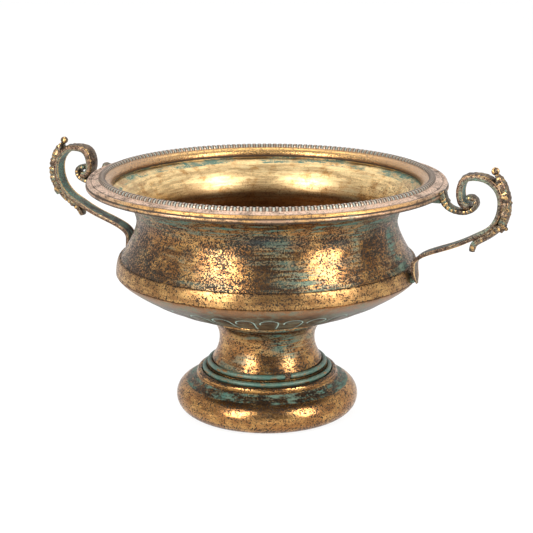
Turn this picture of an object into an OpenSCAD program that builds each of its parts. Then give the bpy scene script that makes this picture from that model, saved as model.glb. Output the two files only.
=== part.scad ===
// Footed two-handled planter pot, sheet brass with cast scroll handles.
// Millimetres, +Z up. The origin is the centre of the foot's underside, and the
// handles stand along X.

/* [Rim] */
// Outside diameter of the rim over its rolled edge
rim_d = 300; // [290:1:370]
// Radius of the mouth inside the rim collar
mouth_r = 127.6; // [105:0.1:128]
// Height of the rim from the bowl's lip to the top of its raised bead
rim_h = 10.9; // [9.5:0.1:13]
// Radius of the raised bead round the mouth
bead_r = 2.9; // [2:0.1:3.4]
// Radius of the rolled edge
roll_r = 2.3; // [1.9:0.1:2.6]
// Thickness of the wire inside the rolled edge
rim_wire_d = 2.4; // [1.5:0.1:2.6]
// Sheet thickness of the rim
rim_wall = 1.4; // [1:0.1:1.7]

/* [Bowl] */
// Largest diameter of the bowl, over the belly band
belly_d = 253.8; // [215:0.2:275]
// Diameter of the neck at its narrowest
waist_d = 217.8; // [190:0.2:225]
// Height of the bowl from its floor to the belly band
dish_h = 37.2; // [31:0.1:45]
// Height of the belly band
band_h = 12.6; // [11:0.1:15]
// Height of the neck from the belly band to the lip
neck_h = 59.6; // [50:0.1:72]
// Sheet thickness of the bowl
bowl_wall = 1.2; // [0.8:0.1:1.5]

/* [Stem and foot] */
// Diameter of the stem at its narrowest
stem_d = 81.2; // [68:0.2:98]
// Height of the stem from the foot's top to the bowl's floor
stem_h = 45.3; // [38:0.1:55]
// Thickness of the collar bead at the top of the stem
collar_bead_d = 4.8; // [4:0.1:5.8]
// Thickness of the upper ring wire
upper_wire_d = 4.2; // [3.5:0.1:5]
// Thickness of the lower ring wire
lower_wire_d = 4.0; // [3.3:0.1:4.8]
// Largest diameter of the foot
foot_d = 155.4; // [130:0.2:190]
// Height of the foot
foot_h = 39.9; // [36:0.1:48]
// Radius of the foot's big roll
foot_roll_r = 13.2; // [11:0.1:13.6]
// Radius of the foot's small roll
foot_bead_r = 2.7; // [2.2:0.1:3.2]
// Sheet thickness of the stem and the foot
foot_wall = 1.4; // [1:0.1:1.7]

/* [Handles] */
// Width of the handle strap
strap_w = 13; // [11:0.1:15]
// Thickness of the handle strap at its crown
strap_t = 6.4; // [5.4:0.1:7.6]
// Width of the leaves on the strap
leaf_w = 10; // [8:0.1:10.8]
// Width of the link scroll
link_w = 11.4; // [11:0.1:12]
// Thickness of the link scroll
link_t = 5.2; // [4.4:0.1:6]
// Radius of the knob on top of the handle
knob_r = 3.3; // [2.7:0.1:4]

/* [Fixings] */
// Diameter of the centre bolt
bolt_d = 8; // [6:0.5:10]
// Diameter of the handle screws
screw_d = 5; // [4:0.5:6]
// Clearance of a bolt or screw in its hole, on the radius
hole_clear = 0.25; // [0.1:0.05:0.5]
// Solder gap between pieces that slip into each other
joint_gap = 0.1; // [0.05:0.01:0.2]

/* [Hidden] */
$fn = 96;

// Heights of the joints, from the ground up
dish_z = foot_h + stem_h;
band_z = dish_z + dish_h;
neck_z = band_z + band_h;
lip_z = neck_z + neck_h;
rim_top_z = lip_z + rim_h;

// Radii of the joints
rim_r = rim_d / 2;
belly_r = belly_d / 2;
waist_r = waist_d / 2;
stem_r = stem_d / 2;
foot_r = foot_d / 2;

// Curves ------------------------------------------------------------------

// Points along an arc about [cx, cy] from angle a0 to a1
function arc(cx, cy, r, a0, a1, n) =
    [for (i = [0 : n]) let (a = a0 + (a1 - a0) * i / n) [cx + r * cos(a), cy + r * sin(a)]];

// Points along a Bezier curve with four control points
function bez_at(p, t) = (1 - t) ^ 3 * p[0] + 3 * (1 - t) ^ 2 * t * p[1]
                        + 3 * (1 - t) * t ^ 2 * p[2] + t ^ 3 * p[3];
function bez(p, n, first = 0) = [for (i = [first : n]) bez_at(p, i / n)];
function bez_slope(p, t) = (1 - t) ^ 2 * (p[1] - p[0]) + 2 * (1 - t) * t * (p[2] - p[1])
                           + t ^ 2 * (p[3] - p[2]);

function reversed(p) = [for (i = [len(p) - 1 : -1 : 0]) p[i]];
function left_of(a, b) = let (d = b - a) [-d.y, d.x] / norm(d);

// A line moved sideways by w, to its left, with mitred corners
function beside(p, w) = [for (i = [0 : len(p) - 1])
    let (a = left_of(p[max(i - 1, 0)], p[max(i, 1)]),
         b = left_of(p[min(i, len(p) - 2)], p[min(i + 1, len(p) - 1)]))
    p[i] + w * (a + b) / (1 + a * b)];

// The outline of a sheet of thickness w whose right face follows the line p
function sheet(p, w) = concat(p, reversed(beside(p, w)));

module turned(outline) { rotate_extrude() polygon(outline); }

// Bowl and rim ------------------------------------------------------------

rim_shoulder_r = 6.4;
rim_seam = 1.8;                         // collar's foot above the lip's inside corner
bead_c = [mouth_r + 8.8, rim_top_z - bead_r];
roll_c = [rim_r - roll_r, rim_top_z - 8.4];
step_r = 1.4;                           // small step just above the rolled edge
step_c = [rim_r - 2.6, rim_top_z - 5.5];
shoulder_c = [mouth_r + rim_shoulder_r, lip_z + 1.6];

function rim_line() = concat(
    [[mouth_r, lip_z + rim_seam - rim_wall]],
    arc(shoulder_c.x, shoulder_c.y, rim_shoulder_r, 180, 110, 7),
    arc(bead_c.x, bead_c.y, bead_r, 170, 10, 12),
    [step_c]);

module rim_sheet() polygon(concat(reversed(rim_line()), beside(rim_line(), -rim_wall)));

module rim_ring() color("#b08d57") difference() {
    rotate_extrude() union() {
        rim_sheet();
        translate(step_c) circle(step_r);
        translate(roll_c) circle(roll_r);
    }
    rotate_extrude() translate(roll_c) circle(rim_wire_d / 2 + joint_gap / 2);
}

module rim_wire() color("#8a7a5c") rotate_extrude() translate(roll_c) circle(rim_wire_d / 2);

// The lip stands round the outside of the rim collar; the skirt laps the dish
lip_out_r = mouth_r + rim_wall + joint_gap + bowl_wall;
lip_h = 2.4;
band_t = 1.8;
lap_h = 9.4;
skirt_r = belly_r - band_t;
neck_foot_r = belly_r - 4.2;
lap_in_r = skirt_r - bowl_wall - joint_gap;

function neck_line() = concat(
    [[skirt_r, band_z], [skirt_r, band_z + lap_h], [neck_foot_r, neck_z]],
    bez([[neck_foot_r, neck_z], [neck_foot_r - 5.6, neck_z + 8.5],
         [waist_r, neck_z + neck_h * 0.39], [waist_r, neck_z + neck_h * 0.52]], 12, 1),
    bez([[waist_r, neck_z + neck_h * 0.52], [waist_r, neck_z + neck_h * 0.65],
         [waist_r + 7, lip_z - 4], [lip_out_r, lip_z - 1.7]], 12, 1),
    [[lip_out_r, lip_z + lip_h]]);

screw_z = band_z + 5;
module screw_holes() for (side = [0, 180]) rotate([0, 0, side])
    translate([0, 0, screw_z]) rotate([0, 90, 0])
        cylinder(h = rim_r, r = screw_d / 2 + hole_clear);

module neck_shell() color("#a0793f") difference() {
    turned(sheet(neck_line(), bowl_wall));
    screw_holes();
}

function band_line() = bez([[belly_r, band_z], [belly_r - 0.3, band_z + band_h * 0.37],
                            [belly_r - 0.7, band_z + band_h * 0.7],
                            [belly_r - 2.4, neck_z]], 10);

module belly_band() color("#c99b4e") difference() {
    turned(concat(band_line(), [[neck_foot_r + joint_gap, neck_z + joint_gap],
                                [skirt_r + joint_gap, band_z + lap_h],
                                [skirt_r + joint_gap, band_z]]));
    screw_holes();
}

floor_r = 50;

function dish_line() = concat(
    [[bolt_d / 2 + hole_clear, dish_z]],
    bez([[floor_r, dish_z], [floor_r + 34, dish_z + 5.3],
         [belly_r - 2.4, band_z - 6.9], [belly_r, band_z - joint_gap]], 16),
    [[lap_in_r, band_z - joint_gap], [lap_in_r, band_z + lap_h - 0.8]]);

module bowl_dish() color("#7b6340") difference() {
    turned(sheet(dish_line(), bowl_wall));
    screw_holes();
}

// Stem and foot -----------------------------------------------------------

collar_r = collar_bead_d / 2;
collar_c = [floor_r - 2, dish_z - collar_r];
spigot_r = collar_c.x - collar_r - joint_gap;

module stem_collar() color("#b98f4a") rotate_extrude() translate(collar_c) circle(collar_r);

upper_c = [48.9, foot_h + upper_wire_d / 2];
skirt_in_r = upper_c.x - upper_wire_d / 2 - joint_gap;
stem_waist_z = foot_h + stem_h * 0.52;
stem_top_z = dish_z - collar_bead_d - 0.2;

function stem_line() = concat(
    [[skirt_in_r, foot_h], [skirt_in_r, foot_h + upper_wire_d + 1.4]],
    bez([[skirt_in_r, foot_h + upper_wire_d + 1.4], [skirt_in_r - 3.4, foot_h + 10.5],
         [stem_r, stem_waist_z - 6.5], [stem_r, stem_waist_z]], 10, 1),
    bez([[stem_r, stem_waist_z], [stem_r, stem_waist_z + 7],
         [stem_r + 2.7, stem_top_z - 4.4], [collar_c.x - 0.6, stem_top_z]], 10, 1),
    [[spigot_r, stem_top_z], [spigot_r, dish_z], [bolt_d / 2 + hole_clear, dish_z]]);

module stem() color("#a9864a") turned(sheet(stem_line(), foot_wall));

// A ring bent from wire, with a butt joint left open for its solder
joint_angle = 2.4;
upper_joint_at = -48.4;
lower_joint_at = 118;
wire_seat_z = foot_h - 5;
lower_c = [53.4, wire_seat_z + joint_gap / 2 + lower_wire_d / 2];

module ring_wire(c, d, at) rotate([0, 0, at + joint_angle / 2])
    rotate_extrude(angle = 360 - joint_angle) translate(c) circle(d / 2);
module ring_solder(c, d, at) rotate([0, 0, at - joint_angle / 2])
    rotate_extrude(angle = joint_angle) translate(c) circle(d / 2 - joint_gap);

module stem_ring_upper() color("#5f8577") ring_wire(upper_c, upper_wire_d, upper_joint_at);
module stem_ring_lower() color("#5f8577") ring_wire(lower_c, lower_wire_d, lower_joint_at);
module ring_solder_upper() color("#3d3a30") ring_solder(upper_c, upper_wire_d, upper_joint_at);
module ring_solder_lower() color("#3d3a30") ring_solder(lower_c, lower_wire_d, lower_joint_at);

foot_c = [foot_r - foot_roll_r, foot_roll_r];
foot_bead_c = [lower_c.x + lower_wire_d / 2 + foot_bead_r - 1, foot_h - 6.5];
foot_step_r = lower_c.x - lower_wire_d / 2 - joint_gap;
base_ring_w = 7;
bridge_lap = 4;
foot_hole_r = 40;

function foot_line() = concat(
    [[foot_c.x - base_ring_w, 0]],
    arc(foot_c.x, foot_c.y, foot_roll_r, -90, 66, 14),
    bez([[foot_c.x + 4.4, foot_c.y + foot_roll_r - 0.6],
         [foot_c.x + 1.5, foot_c.y + foot_roll_r + 0.8],
         [foot_bead_c.x + 5.4, foot_bead_c.y - 4.1],
         [foot_bead_c.x + 2.5, foot_bead_c.y - 1.4]], 6),
    arc(foot_bead_c.x, foot_bead_c.y, foot_bead_r, -10, 146, 8),
    [[foot_step_r, wire_seat_z], [foot_step_r, foot_h], [foot_hole_r, foot_h]]);

module foot() color("#b5904f") turned(sheet(foot_line(), foot_wall));

// Centre fixing: one bolt pulls the bowl, the stem and the foot together ----

bridge_t = 2;
bridge_z = foot_h - foot_wall - bridge_t;
seal_t = 1.5;
washer_t = 1.5;
bolt_head_h = 5.5;
nut_h = 6.5;
bolt_head_z = dish_z + bowl_wall + seal_t + washer_t;
thread_out = 3;

module disc(r, z, t) translate([0, 0, z]) difference() {
    cylinder(h = t, r = r);
    translate([0, 0, -1]) cylinder(h = t + 2, r = bolt_d / 2 + hole_clear);
}

module foot_bridge() color("#8d8f92") disc(foot_hole_r + bridge_lap, bridge_z, bridge_t);
module sealing_washer() color("#26262a") disc(bolt_d * 1.3, dish_z + bowl_wall, seal_t);
module bolt_washer() color("#9a9ca0")
    disc(bolt_d * 1.15, dish_z + bowl_wall + seal_t, washer_t);
module nut_washer() color("#9a9ca0") disc(bolt_d * 1.15, bridge_z - washer_t, washer_t);

module centre_bolt() color("#a4a6a8") union() {
    translate([0, 0, bolt_head_z]) cylinder(h = bolt_head_h, r = bolt_d * 0.94, $fn = 6);
    translate([0, 0, bridge_z - washer_t - nut_h - thread_out])
        cylinder(h = bolt_head_z - bridge_z + washer_t + nut_h + thread_out + 1, r = bolt_d / 2);
}

module centre_nut() color("#a4a6a8")
    translate([0, 0, bridge_z - washer_t - nut_h]) difference() {
        cylinder(h = nut_h, r = bolt_d * 0.94, $fn = 6);
        translate([0, 0, -1]) cylinder(h = nut_h + 2, r = bolt_d / 2 + joint_gap / 2);
    }

// Handles -----------------------------------------------------------------

// A scroll is walked along in steps of [radius, turn in degrees]; a radius of 0
// is a straight of the length given in place of the turn. Points are [x, z, heading].
walk_step = 2.4;
function walk(p, h, moves, i = 0) = i == len(moves) ? [[p.x, p.y, h]] :
    let (r = moves[i][0], a = moves[i][1], s = sign(a),
         n = max(2, ceil((r == 0 ? a : abs(a) * r * PI / 180) / walk_step)))
    concat([for (k = [0 : n - 1]) let (q = walked(p, h, r, a * k / n, s))
                [q.x, q.y, r == 0 ? h : h + a * k / n]],
           walk(walked(p, h, r, a, s), r == 0 ? h : h + a, moves, i + 1));
function walked(p, h, r, a, s) = r == 0 ? p + a * [cos(h), sin(h)]
    : p + s * r * [sin(h + a) - sin(h), cos(h) - cos(h + a)];

// A ribbon along such a path; t(u) is its thickness from start to end
function side_of(q, w) = [q.x - w * sin(q.z), q.y + w * cos(q.z)];
function ribbon(path, t0, t1, t2) = let (n = len(path) - 1)
    let (half = [for (i = [0 : n]) let (u = i / n)
                 (u < 0.15 ? t0 + (t1 - t0) * u / 0.15
                  : t1 + (t2 - t1) * (u - 0.15) / 0.85) / 2])
    concat([for (i = [0 : n]) side_of(path[i], half[i])],
           reversed([for (i = [0 : n]) side_of(path[i], -half[i])]));

// The strap's foot follows the belly and ends below in a free leaf tip
foot_tip = [belly_r + 4.3, band_z + 0.6];
strap_foot = walk(foot_tip, 104, [[0, 7], [30, -12], [0, 2.2]]);
arm_start = strap_foot[len(strap_foot) - 1];

// The scroll hangs from the rim's edge, so it starts at a place set from it
scroll_start = [rim_r + 5.3, roll_c.y - 41.2];
scroll_head = 20.5;
strap_scroll = walk(scroll_start, scroll_head,
    [[130, 8.5], [0, 11], [29, 67], [18, 72], [25, 20], [0, 1.2], [8.4, 58], [17.4, 27],
     [20, 18], [4.8, 90]]);

arm_curve = [[arm_start.x, arm_start.y], [arm_start.x - 0.6, arm_start.y + 8.2],
             scroll_start - 16 * [cos(scroll_head), sin(scroll_head)], scroll_start];
arm_steps = 12;
strap_arm = [for (i = [1 : arm_steps - 1]) let (t = i / arm_steps,
    q = bez_at(arm_curve, t), d = bez_slope(arm_curve, t)) [q.x, q.y, atan2(d.y, d.x)]];
strap_path = concat(strap_foot, strap_arm, strap_scroll);

// The link grips the rolled edge in a fork and curls round under the volute
link_path = walk([roll_c.x + roll_r, roll_c.y + 0.4], -80,
    [[13.8, 55], [19, 23], [0, 1.4], [13, 37], [9, 25], [4.6, 150]]);
fork_path = walk([roll_c.x + roll_r - 1.4, roll_c.y + 3.6], -66, [[0, 5], [16, 24]]);

// Leaves on the outer side of the scroll
knob_c = [rim_r + 41.5, rim_top_z + 14.2];
leaf_upper_path = walk(knob_c + [0.8, -2.2], -45,
    [[37.7, -40], [35, -27], [3, 75]]);
leaf_lower_path = walk([rim_r + 47.5, roll_c.y - 21], -130,
    [[60, -15], [0, 7], [8, 45], [0, 2.5]]);

// Lug between the strap's foot and the belly, where the screw goes in
lug_h = 7.4;
lug_w = 9;
screw_bite = 3.4;

module lengthwise(w) rotate([90, 0, 0]) translate([0, 0, -w / 2]) linear_extrude(w) children();

module handle() difference() {
    union() {
        lengthwise(strap_w) polygon(ribbon(strap_path, 1.6, strap_t * 0.86, strap_t));
        lengthwise(leaf_w) union() {
            polygon(ribbon(leaf_upper_path, 2.4, 5, 2));
            polygon(ribbon(leaf_lower_path, 3, 4.4, 1.2));
        }
        lengthwise(link_w) difference() {
            union() {
                polygon(ribbon(link_path, link_t, link_t, link_t * 0.8));
                polygon(ribbon(fork_path, 8.4, 8.2, link_t));
            }
            translate(roll_c) circle(roll_r + 3 * joint_gap);
            translate(step_c) circle(step_r + 3 * joint_gap);
            translate([0, roll_c.y - 1]) square([roll_c.x, rim_top_z - roll_c.y]);
            lug_outline(joint_gap);
        }
        lengthwise(lug_w) translate([belly_r - band_t, screw_z - lug_h / 2])
            square([foot_tip.x - belly_r + band_t - 1.5, lug_h]);
        translate([knob_c.x, 0, knob_c.y]) sphere(knob_r);
    }
    turned(concat([[0, band_z]], band_line(), [[0, neck_z]]));
    turned([[0, neck_z], [belly_r - 2.4, neck_z], [neck_foot_r - 2, neck_z + 4], [0, neck_z + 4]]);
    translate([0, 0, screw_z]) rotate([0, 90, 0])
        cylinder(h = belly_r + screw_bite + joint_gap, r = screw_d / 2 + joint_gap / 2);
}

module handle_right() color("#93804f") handle();
module handle_left() color("#93804f") rotate([0, 0, 180]) handle();

// A lug brazed into the channel under the rim sits in each fork
lug_leg_w = 3.2;
lug_leg_out = roll_c.x - roll_r - joint_gap;
lug_low_z = roll_c.y - roll_r - 3.4;
rim_under_z = step_c.y - rim_wall + 0.2;
module lug_outline(more) {
    translate([lug_leg_out - lug_leg_w - more, lug_low_z - more])
        square([lug_leg_w + 2 * more, rim_under_z - lug_low_z + more]);
    translate([lug_leg_out - lug_leg_w - more, lug_low_z - more])
        square([lug_leg_w + 4.2 + 2 * more, 3.3 + 2 * more]);
}

module rim_lugs() color("#3f6b5c") difference() {
    for (side = [0, 180]) rotate([0, 0, side]) lengthwise(lug_w) lug_outline(0);
    rotate_extrude() rim_sheet();
}

// Handle screws go in from inside the bowl
screw_head_h = 2.6;
screw_head_r = screw_d * 0.85;
screw_washer_t = 1;
screw_wall_x = lap_in_r - bowl_wall - joint_gap;

module handle_screws() color("#a4a6a8") for (side = [0, 180]) rotate([0, 0, side])
    translate([0, 0, screw_z]) rotate([0, 90, 0]) union() {
        translate([0, 0, screw_wall_x - screw_washer_t - screw_head_h])
            cylinder(h = screw_head_h, r = screw_head_r);
        translate([0, 0, screw_wall_x - screw_washer_t - 1])
            cylinder(h = belly_r + screw_bite - screw_wall_x + screw_washer_t + 1,
                     r = screw_d / 2);
    }

module screw_washers() color("#9a9ca0") for (side = [0, 180]) rotate([0, 0, side])
    translate([screw_wall_x - screw_washer_t, 0, screw_z]) rotate([0, 90, 0]) difference() {
        cylinder(h = screw_washer_t, r = screw_d * 0.9);
        translate([0, 0, -1]) cylinder(h = screw_washer_t + 2, r = screw_d / 2 + hole_clear);
    }

rim_ring();
rim_wire();
neck_shell();
belly_band();
bowl_dish();
stem_collar();
stem();
stem_ring_upper();
stem_ring_lower();
ring_solder_upper();
ring_solder_lower();
foot();
foot_bridge();
centre_bolt();
bolt_washer();
sealing_washer();
nut_washer();
centre_nut();
handle_left();
handle_right();
rim_lugs();
handle_screws();
screw_washers();
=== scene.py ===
"""Looks of the footed, two-handled planter pot: antique brass with verdigris."""

import math

import bpy
from mathutils import Matrix, Vector, noise


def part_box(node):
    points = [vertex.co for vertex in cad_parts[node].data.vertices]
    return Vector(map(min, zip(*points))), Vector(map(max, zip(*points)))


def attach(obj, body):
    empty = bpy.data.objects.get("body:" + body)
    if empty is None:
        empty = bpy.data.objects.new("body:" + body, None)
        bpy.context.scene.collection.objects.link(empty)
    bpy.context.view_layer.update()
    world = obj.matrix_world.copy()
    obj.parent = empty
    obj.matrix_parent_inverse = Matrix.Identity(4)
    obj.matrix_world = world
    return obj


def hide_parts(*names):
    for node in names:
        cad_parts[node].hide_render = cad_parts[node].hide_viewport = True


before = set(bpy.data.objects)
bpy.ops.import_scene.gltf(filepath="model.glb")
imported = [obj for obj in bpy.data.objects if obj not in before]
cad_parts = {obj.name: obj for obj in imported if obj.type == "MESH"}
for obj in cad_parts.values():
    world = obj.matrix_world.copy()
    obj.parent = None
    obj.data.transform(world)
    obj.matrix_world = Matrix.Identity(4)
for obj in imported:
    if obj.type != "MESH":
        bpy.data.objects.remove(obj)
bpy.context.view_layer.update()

MM = 0.001
FULL_TURN = 2 * math.pi


def node_box(name):
    """Lowest and highest corner of a CAD piece, in millimetres."""
    low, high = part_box(name)
    return low / MM, high / MM


# Sizes in millimetres, from the CAD pieces

foot_high = node_box("foot")[1]
dish_low, dish_high = node_box("bowl_dish")
band_low, band_high = node_box("belly_band")
neck_high = node_box("neck_shell")[1]
rim_high = node_box("rim_ring")[1]
collar_low, collar_high = node_box("stem_collar")

BOWL_WALL = 1.2
RIM_WALL = 1.4
FOOT_WALL = 1.4
EDGE_GAP = 0.1

RIM_R = rim_high.x
RIM_TOP = rim_high.z
FLANGE_W = 22.4
MOUTH_R = RIM_R - FLANGE_W
LIP_RISE = 2.4
LIP_Z = neck_high.z - LIP_RISE
LIP_R = MOUTH_R + 2.7
BEAD_R = 2.9
BEAD_C = (MOUTH_R + 8.8, RIM_TOP - BEAD_R)
STEP_R = 1.4
STEP_C = (RIM_R - 2.6, RIM_TOP - 5.5)
ROLL_R = 2.3
ROLL_C = (RIM_R - ROLL_R, RIM_TOP - 8.4)

BELLY_R = dish_high.x
WAIST_R = BELLY_R - 18
SKIRT_R = BELLY_R - 1.8
NECK_FOOT_R = BELLY_R - 4.2
LAP_H = 9.4
BAND_Z = band_low.z
NECK_Z = band_high.z - EDGE_GAP
NECK_H = LIP_Z - NECK_Z

DISH_Z = dish_low.z
FLOOR_R = 50
BOLT_HOLE_R = 4.25
FOOT_R = foot_high.x
FOOT_H = foot_high.z
STEM_H = DISH_Z - FOOT_H
STEM_R = 40.6

# Numbers of notches in the rim's bead and petals under the bowl, and the turn in degrees, from
# X about the upright axis, of the side that the marks are placed from
NOTCHES = 180
PETALS = 34
FRONT = -68


# Curves

def arc(centre, radius, start, end, count):
    """Points along an arc, angles in degrees."""
    angles = [math.radians(start + (end - start) * i / count) for i in range(count + 1)]
    return [(centre[0] + radius * math.cos(a), centre[1] + radius * math.sin(a)) for a in angles]


def bezier_at(p, t):
    """Point at t on a curve with four control points."""
    s = 1 - t
    weights = (s ** 3, 3 * s * s * t, 3 * s * t * t, t ** 3)
    return tuple(sum(w * q[i] for w, q in zip(weights, p)) for i in (0, 1))


def bezier(p, count, first=0):
    return [bezier_at(p, i / count) for i in range(first, count + 1)]


def beside(line, distance):
    """The line moved sideways to its left, with mitred corners."""
    moved = []
    points = [Vector(p) for p in line]
    for i, p in enumerate(points):
        before = p - points[i - 1] if i else points[1] - p
        after = points[i + 1] - p if i < len(points) - 1 else before
        a = Vector((-before.y, before.x)).normalized()
        b = Vector((-after.y, after.x)).normalized()
        moved.append(tuple(p + distance * (a + b) / (1 + a.dot(b))))
    return moved


def smooth(low, high, value):
    """0 below low, 1 above high and a soft step between."""
    t = min(max((value - low) / (high - low), 0), 1)
    return t * t * (3 - 2 * t)


# Making pieces

def enter_edit():
    bpy.ops.object.mode_set(mode="EDIT")


def leave_edit():
    bpy.ops.object.mode_set(mode="OBJECT")


def chosen(*pieces):
    """Selects only these pieces and makes the first one active."""
    bpy.ops.object.select_all(action="DESELECT")
    for piece in pieces:
        piece.select_set(True)
    bpy.context.view_layer.objects.active = pieces[0]


def started(name, add, **settings):
    """Adds a primitive, named and with its place put into its mesh, and opens it in edit mode."""
    bpy.ops.object.select_all(action="DESELECT")
    add(**settings)
    piece = bpy.context.active_object
    piece.name = name
    piece.data.name = name
    bpy.ops.object.transform_apply(location=True, rotation=True, scale=True)
    enter_edit()
    bpy.ops.mesh.select_mode(type="VERT")
    return piece


def drawn(name, line, closed=False):
    """Draws a line point by point in the upright plane through X, from radii and heights."""
    points = [Vector((r, 0, z)) * MM for r, z in line]
    piece = started(name, bpy.ops.mesh.primitive_plane_add, size=MM, location=points[0])
    bpy.ops.mesh.merge(type="CENTER")
    if closed:
        points.append(points[0])
    for here, there in zip(points, points[1:]):
        bpy.ops.mesh.extrude_vertices_move(TRANSFORM_OT_translate={"value": there - here})
    tidy_mesh()
    return piece


def tidy_mesh():
    """Merges doubled corners of the whole mesh."""
    bpy.ops.mesh.select_all(action="SELECT")
    bpy.ops.mesh.remove_doubles(threshold=0.002 * MM)


def turned_about(steps, angle=FULL_TURN, dupli=False):
    """Spins all that is drawn, or with dupli its copies, about the upright axis."""
    bpy.ops.mesh.select_all(action="SELECT")
    bpy.ops.mesh.spin(steps=steps, angle=angle, center=(0, 0, 0), axis=(0, 0, 1), dupli=dupli)
    tidy_mesh()
    bpy.ops.mesh.normals_make_consistent(inside=False)


def copied_round(count):
    """Copies what is drawn round the upright axis, count in all, with the seams joined."""
    turned_about(count - 1, FULL_TURN - FULL_TURN / count, dupli=True)


def turned_over(piece, lean):
    """Leaves edit mode and flips the faces if lean(face), summed over their areas, is against."""
    leave_edit()
    if sum(face.area * lean(face) for face in piece.data.polygons) < 0:
        piece.data.flip_normals()


def painted(piece, name, level):
    """Gives each corner a number for the finishes; level(corner) works it out."""
    mark = piece.data.attributes.new(name, "FLOAT", "POINT")
    for corner in piece.data.vertices:
        mark.data[corner.index].value = level(corner)


def dressed(piece, finish, slot, *nodes, crease=35):
    """Shades a piece, gives it its finish and hands it to the frame."""
    if bpy.context.mode != "OBJECT":
        leave_edit()
    chosen(piece)
    bpy.ops.object.shade_smooth_by_angle(angle=math.radians(crease))
    piece.data.materials.clear()
    piece.data.materials.append(finish)
    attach(piece, "root")
    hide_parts(*nodes)


def walled(piece, wall):
    """Gives a sheet its wall, on the side its faces look away from."""
    solidify = piece.modifiers.new("wall", "SOLIDIFY")
    solidify.thickness = wall * MM
    solidify.offset = -1
    solidify.use_even_offset = True
    chosen(piece)
    bpy.ops.object.modifier_apply(modifier="wall")


def turned_sheet(name, line, wall, steps=256):
    """A sheet turned from its outer line, with its wall to the inside."""
    piece = drawn(name, line)
    turned_about(steps)
    turned_over(piece, lambda face: face.normal.xy.dot(face.center.xy))
    walled(piece, wall)
    return piece


def turned_solid(name, outline, steps=256):
    """A ring turned from a closed outline."""
    piece = drawn(name, outline, closed=True)
    turned_about(steps)
    return piece


def bent_grid(name, along, around, place):
    """A grid bent into shape: place(i, j) gives the place of a corner in millimetres, with
    how green and how gilded it is."""
    piece = started(name, bpy.ops.mesh.primitive_grid_add, size=1,
                    x_subdivisions=along, y_subdivisions=around)
    leave_edit()
    for key in ("green", "gilt"):
        piece.data.attributes.new(key, "FLOAT", "POINT")
    green, gilt = (piece.data.attributes[key].data for key in ("green", "gilt"))
    for corner in piece.data.vertices:
        i = round((corner.co.x + 0.5) * along)
        j = round((corner.co.y + 0.5) * around)
        where, green[corner.index].value, gilt[corner.index].value = place(i, j)
        corner.co = Vector(where) * MM
    enter_edit()
    tidy_mesh()
    bpy.ops.mesh.normals_make_consistent(inside=False)
    leave_edit()
    return piece


# Finishes

def fill(sockets, values):
    """Sets sockets to numbers and colours, or links them to values worked out by nodes."""
    for key, value in values.items():
        if isinstance(value, Value):
            value.finish.tree.links.new(value.socket, sockets[key])
        else:
            sockets[key].default_value = value


class Value:
    """A number in a shader, so that masks are written as sums and products."""

    def __init__(self, finish, socket):
        self.finish = finish
        self.socket = socket

    def worked(self, operation, *others):
        return self.finish.node("Math", {"operation": operation}, dict(enumerate((self, *others))))

    def __add__(self, other):
        return self.worked("ADD", other)

    def __sub__(self, other):
        return self.worked("SUBTRACT", other)

    def __rsub__(self, other):
        return self.finish.node("Math", {"operation": "SUBTRACT"}, {0: other, 1: self})

    def __mul__(self, other):
        return self.worked("MULTIPLY", other)

    def __truediv__(self, other):
        return self.worked("DIVIDE", other)

    def __pow__(self, other):
        return self.worked("POWER", other)

    __radd__ = __add__
    __rmul__ = __mul__

    def held(self):
        """The value held between 0 and 1."""
        return self.finish.node("Clamp", {}, {"Value": self})

    def step(self, low, high):
        """0 below low, 1 above high and a soft step between; high may be the lower one."""
        return self.finish.node(
            "MapRange", {"interpolation_type": "SMOOTHSTEP"},
            {"Value": self, "From Min": low, "From Max": high})

    def blur(self, middle, spread):
        """1 at the middle, fading away over the spread."""
        off = (self - middle) * (1 / spread)
        return self.finish.node("Math", {"operation": "EXPONENT"}, {0: off * off * -1})

    def band(self, low, high, soft):
        """1 between low and high, with soft edges."""
        return self.step(low - soft, low + soft) * self.step(high + soft, high - soft)


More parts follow.
